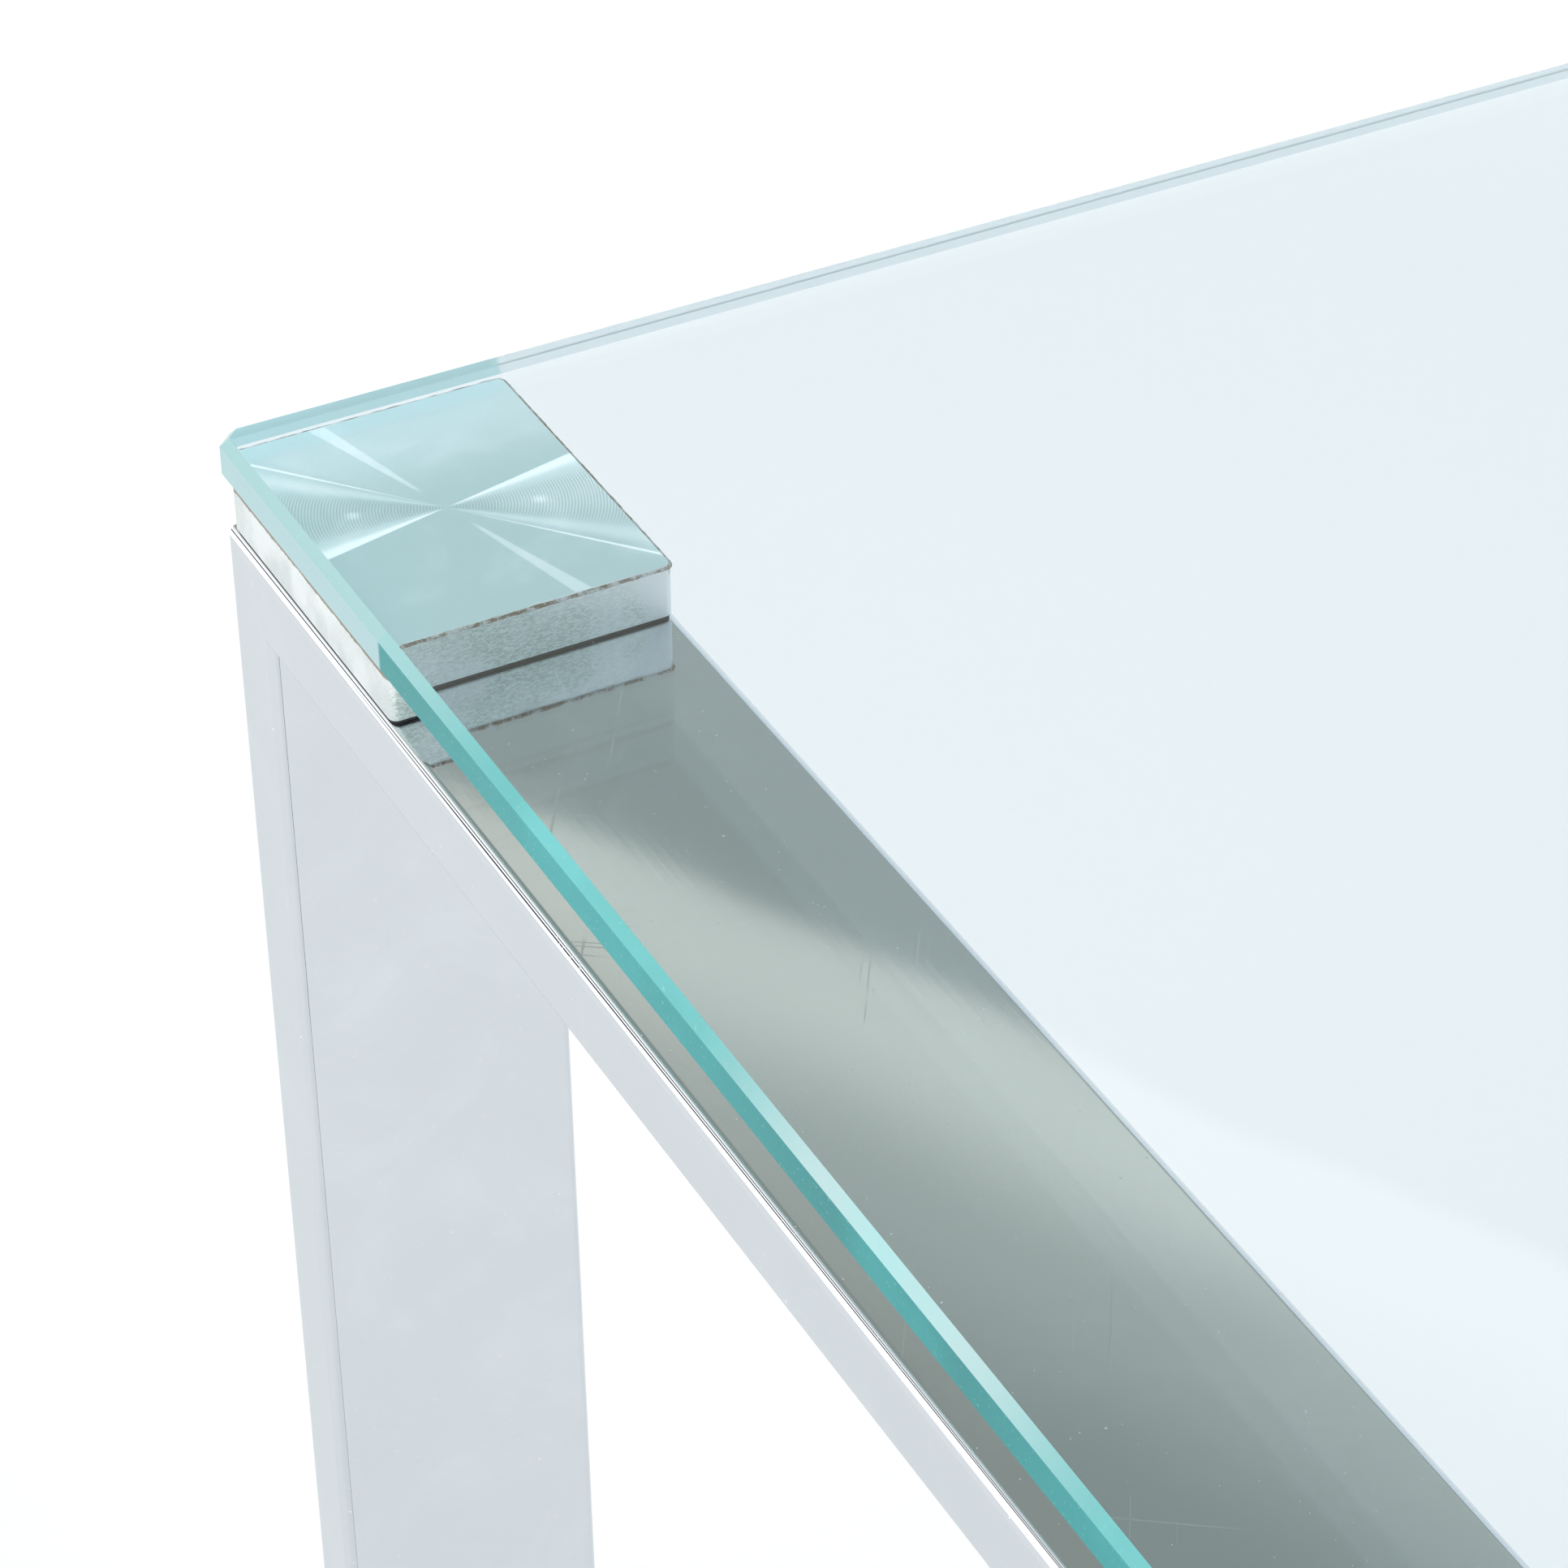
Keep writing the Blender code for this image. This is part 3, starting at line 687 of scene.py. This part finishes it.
class AddFrames(bpy.types.Operator):
    """Add the two welded inverted-U frames of polished tube"""

    bl_idname = "console_table.add_frames"
    bl_label = "Steel frames"

    def execute(self, context):
        settings = context.scene.console_steel
        steel = polished_steel(settings)
        for side in SIDES:
            self.build_frame(side, settings, steel)
        return {"FINISHED"}

    def build_frame(self, side, settings, steel):
        """The tube's outline (a across, b outward) is carried from a rear foot up, along the
        rail and down: station k is at corner k of the U, moved in by half the thickness, with
        the outward side of the outline pointing away from the U's inside along the mitre."""
        low, high = cad_box("top_rail_" + side)
        foot = LEG_LOW[2]
        half = TUBE_THICKNESS / 2
        centre_x = (low[0] + high[0]) / 2
        outer, outer_normal = rounded_rectangle(
            TUBE_WIDTH, TUBE_THICKNESS, settings.corner_radius, 8)
        wall = settings.wall
        inner_radius = max(settings.corner_radius - wall, 0.3 * MM)
        inner, inner_normal = rounded_rectangle(
            TUBE_WIDTH - 2 * wall, TUBE_THICKNESS - 2 * wall, inner_radius, 8)
        path = np.array([(high[1] - half, foot), (high[1] - half, high[2] - half),
                         (low[1] + half, high[2] - half), (low[1] + half, foot)])
        outward = np.array([(1.0, 0.0), (1.0, 1.0), (-1.0, 1.0), (-1.0, 0.0)])

        def stations(outline):
            across = np.broadcast_to(outline[:, 0], (4, len(outline)))
            swing = path[:, None, :] + outline[None, :, 1:] * outward[:, None, :]
            return np.concatenate([centre_x + across[..., None], swing], axis=-1)

        count = len(outer)
        grid = np.concatenate([stations(outer), stations(inner)[::-1]])
        # The rows run down the outside of the tube and back up its inside, as one closed ring.
        faces = grid_faces(8, count, wrap_rows=True, wrap_columns=True)
        piece = new_piece("frame_" + side, grid, faces, steel)
        self.set_flat_normals(piece, centre_x, path, outer, outer_normal, inner, inner_normal)
        nodes = ["top_rail_" + side, "leg_rear_" + side, "leg_front_" + side]
        settle(piece, "polished_steel", *nodes)

    def set_flat_normals(self, piece, centre_x, path, outer, outer_normal, inner, inner_normal):
        """Gives each face corner the exact normal of the tube's outline at that point, so the
        wide faces stay flat mirrors and only the small corner rounds curve."""
        mesh = piece.data
        long_face = 0.2  # metres: faces at least this long run along the rail or a leg
        normals = np.zeros((len(mesh.loops), 3), np.float32)
        points = np.array([vertex.co for vertex in mesh.vertices])
        for polygon in mesh.polygons:
            corners = list(polygon.loop_indices)
            index = np.array([mesh.loops[corner].vertex_index for corner in corners])
            flat = np.array(polygon.normal)
            places = points[index]
            spread = places.max(0) - places.min(0)
            middle = places.mean(0)
            if spread[1] > long_face and spread[2] < long_face / 2:
                out = np.array([0.0, 0.0, 1.0])
                across_out = places[:, 2] - path[1, 1]
            elif spread[2] > long_face:
                out = np.array([0.0, math.copysign(1.0, middle[1]), 0.0])
                across_out = np.abs(places[:, 1]) - path[0, 0]
            else:
                normals[corners] = flat
                continue
            place = np.column_stack([places[:, 0] - centre_x, across_out])
            distance_outer = np.linalg.norm(outer[None] - place[:, None], axis=-1)
            distance_inner = np.linalg.norm(inner[None] - place[:, None], axis=-1)
            if distance_outer.min(1).max() < distance_inner.min(1).max():
                section = outer_normal[distance_outer.argmin(1)]
            else:
                section = -inner_normal[distance_inner.argmin(1)]
            normals[corners] = section[:, :1] * np.array([1.0, 0.0, 0.0]) + section[:, 1:] * out
        mesh.shade_smooth()
        mesh.normals_split_custom_set(normals.tolist())


class AddBlocks(bpy.types.Operator):
    """Add the turned aluminium spacer blocks, their pads and the glue line"""

    bl_idname = "console_table.add_blocks"
    bl_label = "Spacer blocks"

    def execute(self, context):
        settings = context.scene.console_block
        aluminium = turned_aluminium(settings)
        glue = glue_bead()
        black = black_pad()
        for corner in CORNERS:
            low, high = cad_box("spacer_block_" + corner)
            pad_low, pad_high = cad_box("spacer_pad_" + corner)
            # The real parts touch, so the clearances between the solids are closed up here.
            pad_low[2] = RAIL_HIGH[2] + CONTACT
            pad_high[2] = pad_low[2] + settings.pad_height
            low[2] = pad_high[2] + CONTACT
            high[2] = GLASS_LOW[2] - CONTACT
            self.add_box("turned_block_", corner, low, high, settings.edge_radius, settings,
                         aluminium, "turned_aluminium", "spacer_block_")
            self.add_box("black_pad_", corner, pad_low, pad_high, settings.pad_height / 4, settings,
                         black, "black_pad", "spacer_pad_")
            self.add_bead(corner, low, high, settings, glue)
        return {"FINISHED"}

    def add_box(self, name, corner, low, high, edge, settings, material, slot, node):
        points = soft_box_points(low, high, edge, settings.corner_radius)
        faces = grid_faces(len(points), points.shape[1], wrap_columns=True)
        box = new_piece(name + corner, points, faces, material, smooth_angle=30.0)
        self.mark_centre(box, low, high)
        settle(box, slot, node + corner)

    def mark_centre(self, block, low, high):
        """Stores each vertex's place from the middle of its block."""
        points = np.zeros(len(block.data.vertices) * 3, np.float32)
        block.data.vertices.foreach_get("co", points)
        middle = ((low + high) / 2).astype(np.float32)
        offset = (points.reshape(-1, 3) - middle).ravel()
        attribute = block.data.attributes.new("from_centre", "FLOAT_VECTOR", "POINT")
        attribute.data.foreach_set("vector", offset)

    def add_bead(self, corner, low, high, settings, glue):
        """A thin bead round the top of the block: a small circle of varying radius carried
        along the block's outline, in the joint between the block and the glass."""
        size = high - low
        largest = settings.bead_radius * 1.2
        outline, normal = rounded_rectangle(size[0], size[1], settings.corner_radius, 6)
        outline, normal = resample_loop(outline, normal, 480)
        generator = np.random.default_rng(7 + CORNERS.index(corner))
        rough = generator.random(len(outline))
        rough = (rough + np.roll(rough, 1) + np.roll(rough, 2)) / 3
        radius = settings.bead_radius * (0.6 + 0.6 * rough)
        angle = circle(8)[None, :]
        out = (radius[:, None] * np.cos(angle))[..., None] * normal[:, None, :]
        height = high[2] - largest + radius[:, None] * np.sin(angle)
        middle = (low + high) / 2
        points = np.concatenate(
            [outline[:, None, :] + out + middle[:2], height[..., None]], axis=-1)
        faces = grid_faces(len(outline), 8, wrap_rows=True, wrap_columns=True)
        bead = new_piece("glue_bead_" + corner, points, faces, glue, smooth_angle=60.0)
        settle(bead, "turned_aluminium")


def resample_loop(outline, normal, count):
    """Even points along a closed outline, with normals blended between its own points."""
    closed = np.vstack([outline, outline[:1]])
    closed_normal = np.vstack([normal, normal[:1]])
    length = np.concatenate([[0.0], np.cumsum(np.linalg.norm(np.diff(closed, axis=0), axis=1))])
    at = np.linspace(0.0, length[-1], count, endpoint=False)
    points = np.column_stack([np.interp(at, length, closed[:, k]) for k in (0, 1)])
    normals = np.column_stack([np.interp(at, length, closed_normal[:, k]) for k in (0, 1)])
    return points, normals / np.linalg.norm(normals, axis=1, keepdims=True)


class AddFasteners(bpy.types.Operator):
    """Add the spacer bolts and washers under the rails"""

    bl_idname = "console_table.add_fasteners"
    bl_label = "Bolts and washers"

    def execute(self, context):
        settings = context.scene.console_fastener
        zinc = zinc_plating(settings)
        for corner in CORNERS:
            for end in BOLT_ENDS:
                self.add_bolt(f"{corner}_{end}", settings, zinc)
                self.add_washer(f"{corner}_{end}", settings, zinc)
        return {"FINISHED"}

    def add_bolt(self, label, settings, zinc):
        """A button head turned from its socket's floor out over a dome, and a threaded shank.
        Its measures are shares of the head's radius and height."""
        node = "spacer_bolt_" + label
        low, high = cad_box(node)
        centre = (low + high) / 2
        steps = settings.round_steps
        head = (high[0] - low[0]) / 2
        washer_low = cad_box("spacer_washer_" + label)[0][2]
        seat = washer_low - CLEARANCE
        head_height = seat - low[2]
        socket_depth = 0.6 * head_height
        socket = 0.44 * head
        face = 0.62 * head
        shank = 0.58 * head
        dome_height = 0.85 * head_height
        bend = np.linspace(0, math.pi / 2, 9)
        dome = np.column_stack([
            face + (head - face) * np.sin(bend), low[2] + dome_height * (1 - np.cos(bend))])
        profile = [(0.0, low[2] + socket_depth), (socket, low[2] + socket_depth), (socket, low[2])]
        profile += [tuple(point) for point in dome]
        profile += [(head, seat), (shank, seat)]
        points = turned_points(profile, steps)
        # The socket's two rings are six-sided: their radius follows the flats of a hexagon.
        flats = 1.12 * math.cos(math.pi / 6)
        points[1:3, :, :2] *= (flats * hexagon(steps))[None, :, None]
        thread = threaded_points(
            shank, settings.thread_pitch, settings.thread_depth, seat, high[2], 24, 1.5 * MM)
        faces = grid_faces(len(points), steps, wrap_columns=True)
        axis = upright_axis(centre)
        head_piece = new_piece("bolt_head_" + label, points + axis, faces, zinc, 35.0)
        close_thread(head_piece, thread + axis, high[2], centre)
        settle(head_piece, "zinc_steel", node)

    def add_washer(self, label, settings, zinc):
        """A flat ring whose section is a rectangle with small quarter-circle corners."""
        node = "spacer_washer_" + label
        low, high = cad_box(node)
        centre = (low + high) / 2
        outer = (high[0] - low[0]) / 2
        bore = 0.55 * outer
        width = outer - bore
        section, _ = rounded_rectangle(width, high[2] - low[2], 0.25 * MM, 3)
        profile = section + [(outer + bore) / 2, centre[2]]
        points = turned_points(profile, settings.round_steps) + upright_axis(centre)
        faces = grid_faces(len(profile), settings.round_steps, wrap_rows=True, wrap_columns=True)
        washer = new_piece("washer_" + label, points, faces, zinc, 40.0)
        settle(washer, "zinc_steel", node)


def close_thread(piece, thread, top, centre):
    """Joins a thread with closed ends to a piece as a second shell of the same object."""
    rows, steps = thread.shape[:2]
    low_cap = np.broadcast_to([centre[0], centre[1], thread[0, 0, 2]], (1, steps, 3))
    high_cap = np.broadcast_to([centre[0], centre[1], top], (1, steps, 3))
    points = np.concatenate([low_cap, thread, high_cap])
    faces = grid_faces(rows + 2, steps, wrap_columns=True)
    shell = new_piece(piece.name + "_thread", points, faces, piece.data.materials[0], 40.0)
    builder = bmesh.new()
    builder.from_mesh(piece.data)
    builder.from_mesh(shell.data)
    builder.to_mesh(piece.data)
    builder.free()
    bpy.data.objects.remove(shell)


class AddFeet(bpy.types.Operator):
    """Add the leg plugs and the levelling feet with their threaded studs"""

    bl_idname = "console_table.add_feet"
    bl_label = "Plugs and feet"

    def execute(self, context):
        settings = context.scene.console_fastener
        zinc = zinc_plating(settings)
        plastic = moulded_plastic("grey_plastic", (0.035, 0.036, 0.038), 0.5)
        rubber = moulded_plastic("foot_plastic", (0.018, 0.018, 0.019), 0.6)
        for corner in CORNERS:
            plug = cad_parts["leg_plug_" + corner]
            plug.data.materials.clear()
            plug.data.materials.append(plastic)
            self.add_stud(corner, settings, zinc)
            self.add_foot(corner, settings, rubber)
        return {"FINISHED"}

    def add_stud(self, corner, settings, zinc):
        """Neck and hexagonal collar, with the thread above them up to the flat tip."""
        node = "levelling_stud_" + corner
        low, high = cad_box(node)
        centre = (low + high) / 2
        foot_top = cad_box("levelling_foot_" + corner)[1][2]
        collar_low = foot_top + CLEARANCE
        collar_high = cad_box("leg_plug_" + corner)[0][2] - CLEARANCE
        radius = 3.0 * MM
        across = (high[1] - low[1]) / 2
        steps = settings.round_steps
        chamfer = 0.4 * MM
        profile = [
            (0.0, low[2]), (radius, low[2]), (radius, collar_low), (across - chamfer, collar_low),
            (across, collar_low + chamfer), (across, collar_high - chamfer),
            (across - chamfer, collar_high), (radius, collar_high)]
        points = turned_points(profile, steps)
        # The collar's four rings are six-sided.
        points[3:7, :, :2] *= hexagon(steps)[None, :, None]
        thread = threaded_points(
            radius, settings.thread_pitch, settings.thread_depth, collar_high, high[2], 32, MM)
        faces = grid_faces(len(points), steps, wrap_columns=True)
        axis = upright_axis(centre)
        stud = new_piece("threaded_stud_" + corner, points + axis, faces, zinc, 30.0)
        close_thread(stud, thread + axis, high[2], centre)
        settle(stud, "zinc_steel", node, body="stud_" + corner)

    def add_foot(self, corner, settings, rubber):
        """A disc turned from a profile of arcs, with a grip groove and a socket for the stud."""
        node = "levelling_foot_" + corner
        low, high = cad_box(node)
        centre = (low + high) / 2
        radius = (high[0] - low[0]) / 2
        rim = 0.8 * MM
        groove = 0.3 * MM
        shoulder = 1.4 * rim
        bore = 3.3 * MM
        lip = 0.3 * MM
        socket_floor = high[2] - 3.5 * MM
        groove_height = low[2] + 2.2 * MM
        profile = [(0.0, low[2])]
        profile += arc((radius - rim, low[2] + rim), rim, -90, 0, 6).tolist()
        profile += arc((radius, groove_height), groove, -90, -270, 7).tolist()
        profile += arc((radius - shoulder, high[2] - shoulder), shoulder, 0, 90, 8).tolist()
        profile += [(bore + lip, high[2]), (bore, high[2] - lip), (bore, socket_floor),
                    (0.0, socket_floor)]
        points = turned_points(profile, settings.round_steps) + upright_axis(centre)
        faces = grid_faces(len(profile), settings.round_steps, wrap_columns=True)
        foot = new_piece("foot_pad_" + corner, points, faces, rubber, 35.0)
        settle(foot, "foot_plastic", node, body="foot_" + corner)


class AddStage(bpy.types.Operator):
    """Add the pale floor, the soft light and the camera"""

    bl_idname = "console_table.add_stage"
    bl_label = "Stage"

    def execute(self, context):
        settings = context.scene.console_stage
        context.scene.view_settings.view_transform = "Standard"
        self.add_floor(settings)
        self.add_world(context.scene, settings)
        self.add_camera(context.scene, settings)
        return {"FINISHED"}

    def add_floor(self, settings):
        """A flat square, far wider than the table, with a band of painted shade just left of the
        table, where the frame's outer faces mirror it."""
        half = 30.0
        points = half * np.array([(-1, -1, 0), (1, -1, 0), (1, 1, 0), (-1, 1, 0)])
        shader = new_shader("pale_floor")
        place = shader.coordinates()
        cloud = shader.noise(place, 3.0, 2.0)
        color = shader.mix(cloud, settings.floor_color, scaled(settings.floor_color, 0.99))
        x = shader.axes(place)[0]
        # Painted shade: a soft greyer band on the floor left of the table, mirrored in the steel.
        left = shader.step(x, -1.25, -0.85) * shader.fall(x, -0.62, -0.45)
        color = shader.mix(left, color, settings.floor_left_shade)
        material = shader.plain(Base_Color=color, Roughness=0.7, Specular_IOR_Level=0.2)
        new_piece("floor", points, [(0, 1, 2, 3)], material, recalculate=False)

    def add_world(self, scene, settings):
        """White light all round, with a grey ceiling towards the upper back. A soft bright strip
        crosses the ceiling at a slant, and a brighter wall stands at the left. All of it is
        placed for what the rail mirrors from the camera's own view."""
        world = bpy.data.worlds.new("soft_studio")
        scene.world = world
        shader = Shader(world)
        direction = shader.node("ShaderNodeTexCoord")["Generated"]

        def facing(toward, wide, narrow):
            aim = Vector(toward).normalized()
            dot = shader.node("ShaderNodeVectorMath", {"operation": "DOT_PRODUCT"}, {
                0: direction, 1: tuple(aim)})["Value"]
            return shader.step(dot, math.cos(math.radians(wide)), math.cos(math.radians(narrow)))

        x, y, z = shader.axes(direction)
        grey = facing((0.36, 0.72, 0.60), 44, 18) * shader.step(z, 0.38, 0.50)
        wobble = shader.noise(direction, 9.0, 2.0, 0.5) * 0.016 - 0.008
        slant, strip_x, strip_z = 0.43, 0.346, 0.603
        above = z - slant * (x - strip_x) - strip_z + wobble
        strip = shader.step(above, -0.002, 0.004) * shader.step(above, 0.012, 0.040, 1.0, 0.30)
        strip = strip * shader.fall(above, 0.035, 0.080)
        panel = shader.step(shader.noise(direction, 3.2, 1.0, 0.4, 0.6), 0.45, 0.62, 0.0, 0.2)
        ceiling = shader.mix(panel, settings.ceiling_color, scaled(settings.ceiling_color, 1.3))
        darker = scaled(settings.ceiling_color, 0.90)
        ceiling = shader.mix(shader.step(above, 0.04, 0.08), ceiling, darker)
        ceiling = shader.mix(strip, ceiling, settings.strip_color)
        color = shader.mix(grey, (1.0, 1.0, 1.0), ceiling)
        # Two thin dark window bars stand at the left: their slopes across the back wall.
        for slope in (-0.565, -0.800):
            from_bar = abs(x - y * slope)
            bar = shader.fall(from_bar, 0.028, 0.048) * shader.step(y, 0.2, 0.3)
            color = shader.mix(bar * shader.step(z, 0.20, 0.28), color, (0.01, 0.01, 0.01))
        wall = facing((-0.60, 0.72, 0.30), 40, 12)
        light = shader.node("ShaderNodeBackground", None, {
            "Color": color, "Strength": settings.light_strength * (1.0 + wall * 0.5)})[0]
        shader.finish(light, "ShaderNodeOutputWorld")

    def add_camera(self, scene, settings):
        camera = bpy.data.cameras.new("camera")
        camera.lens = settings.lens
        camera.sensor_width = 36.0
        camera.clip_start = 0.01
        holder = bpy.data.objects.new("camera", camera)
        scene.collection.objects.link(holder)
        holder.location = settings.camera_place
        holder.rotation_euler = settings.camera_turn
        scene.camera = holder


PIECES = (AddGlassTop, AddFrames, AddBlocks, AddFasteners, AddFeet, AddStage)


class ConsoleTablePanel(bpy.types.Panel):
    """Lists the pieces of the console table"""

    bl_idname = "VIEW3D_PT_console_table"
    bl_label = "Console table"
    bl_space_type = "VIEW_3D"
    bl_region_type = "UI"
    bl_category = "Console table"

    def draw(self, context):
        for piece in PIECES:
            self.layout.operator(piece.bl_idname)


SETTINGS = {
    "console_glass": GlassSettings,
    "console_steel": SteelSettings,
    "console_block": BlockSettings,
    "console_fastener": FastenerSettings,
    "console_stage": StageSettings,
}


def register():
    for group in SETTINGS.values():
        bpy.utils.register_class(group)
    for piece in PIECES:
        bpy.utils.register_class(piece)
    bpy.utils.register_class(ConsoleTablePanel)
    for name, group in SETTINGS.items():
        setattr(bpy.types.Scene, name, PointerProperty(type=group))


def unregister():
    for name in SETTINGS:
        delattr(bpy.types.Scene, name)
    bpy.utils.unregister_class(ConsoleTablePanel)
    for piece in reversed(PIECES):
        bpy.utils.unregister_class(piece)
    for group in reversed(list(SETTINGS.values())):
        bpy.utils.unregister_class(group)


def main():
    register()
    bpy.ops.console_table.add_stage()
    bpy.ops.console_table.add_glass_top()
    bpy.ops.console_table.add_frames()
    bpy.ops.console_table.add_blocks()
    bpy.ops.console_table.add_fasteners()
    bpy.ops.console_table.add_feet()


if __name__ == "__main__":
    main()
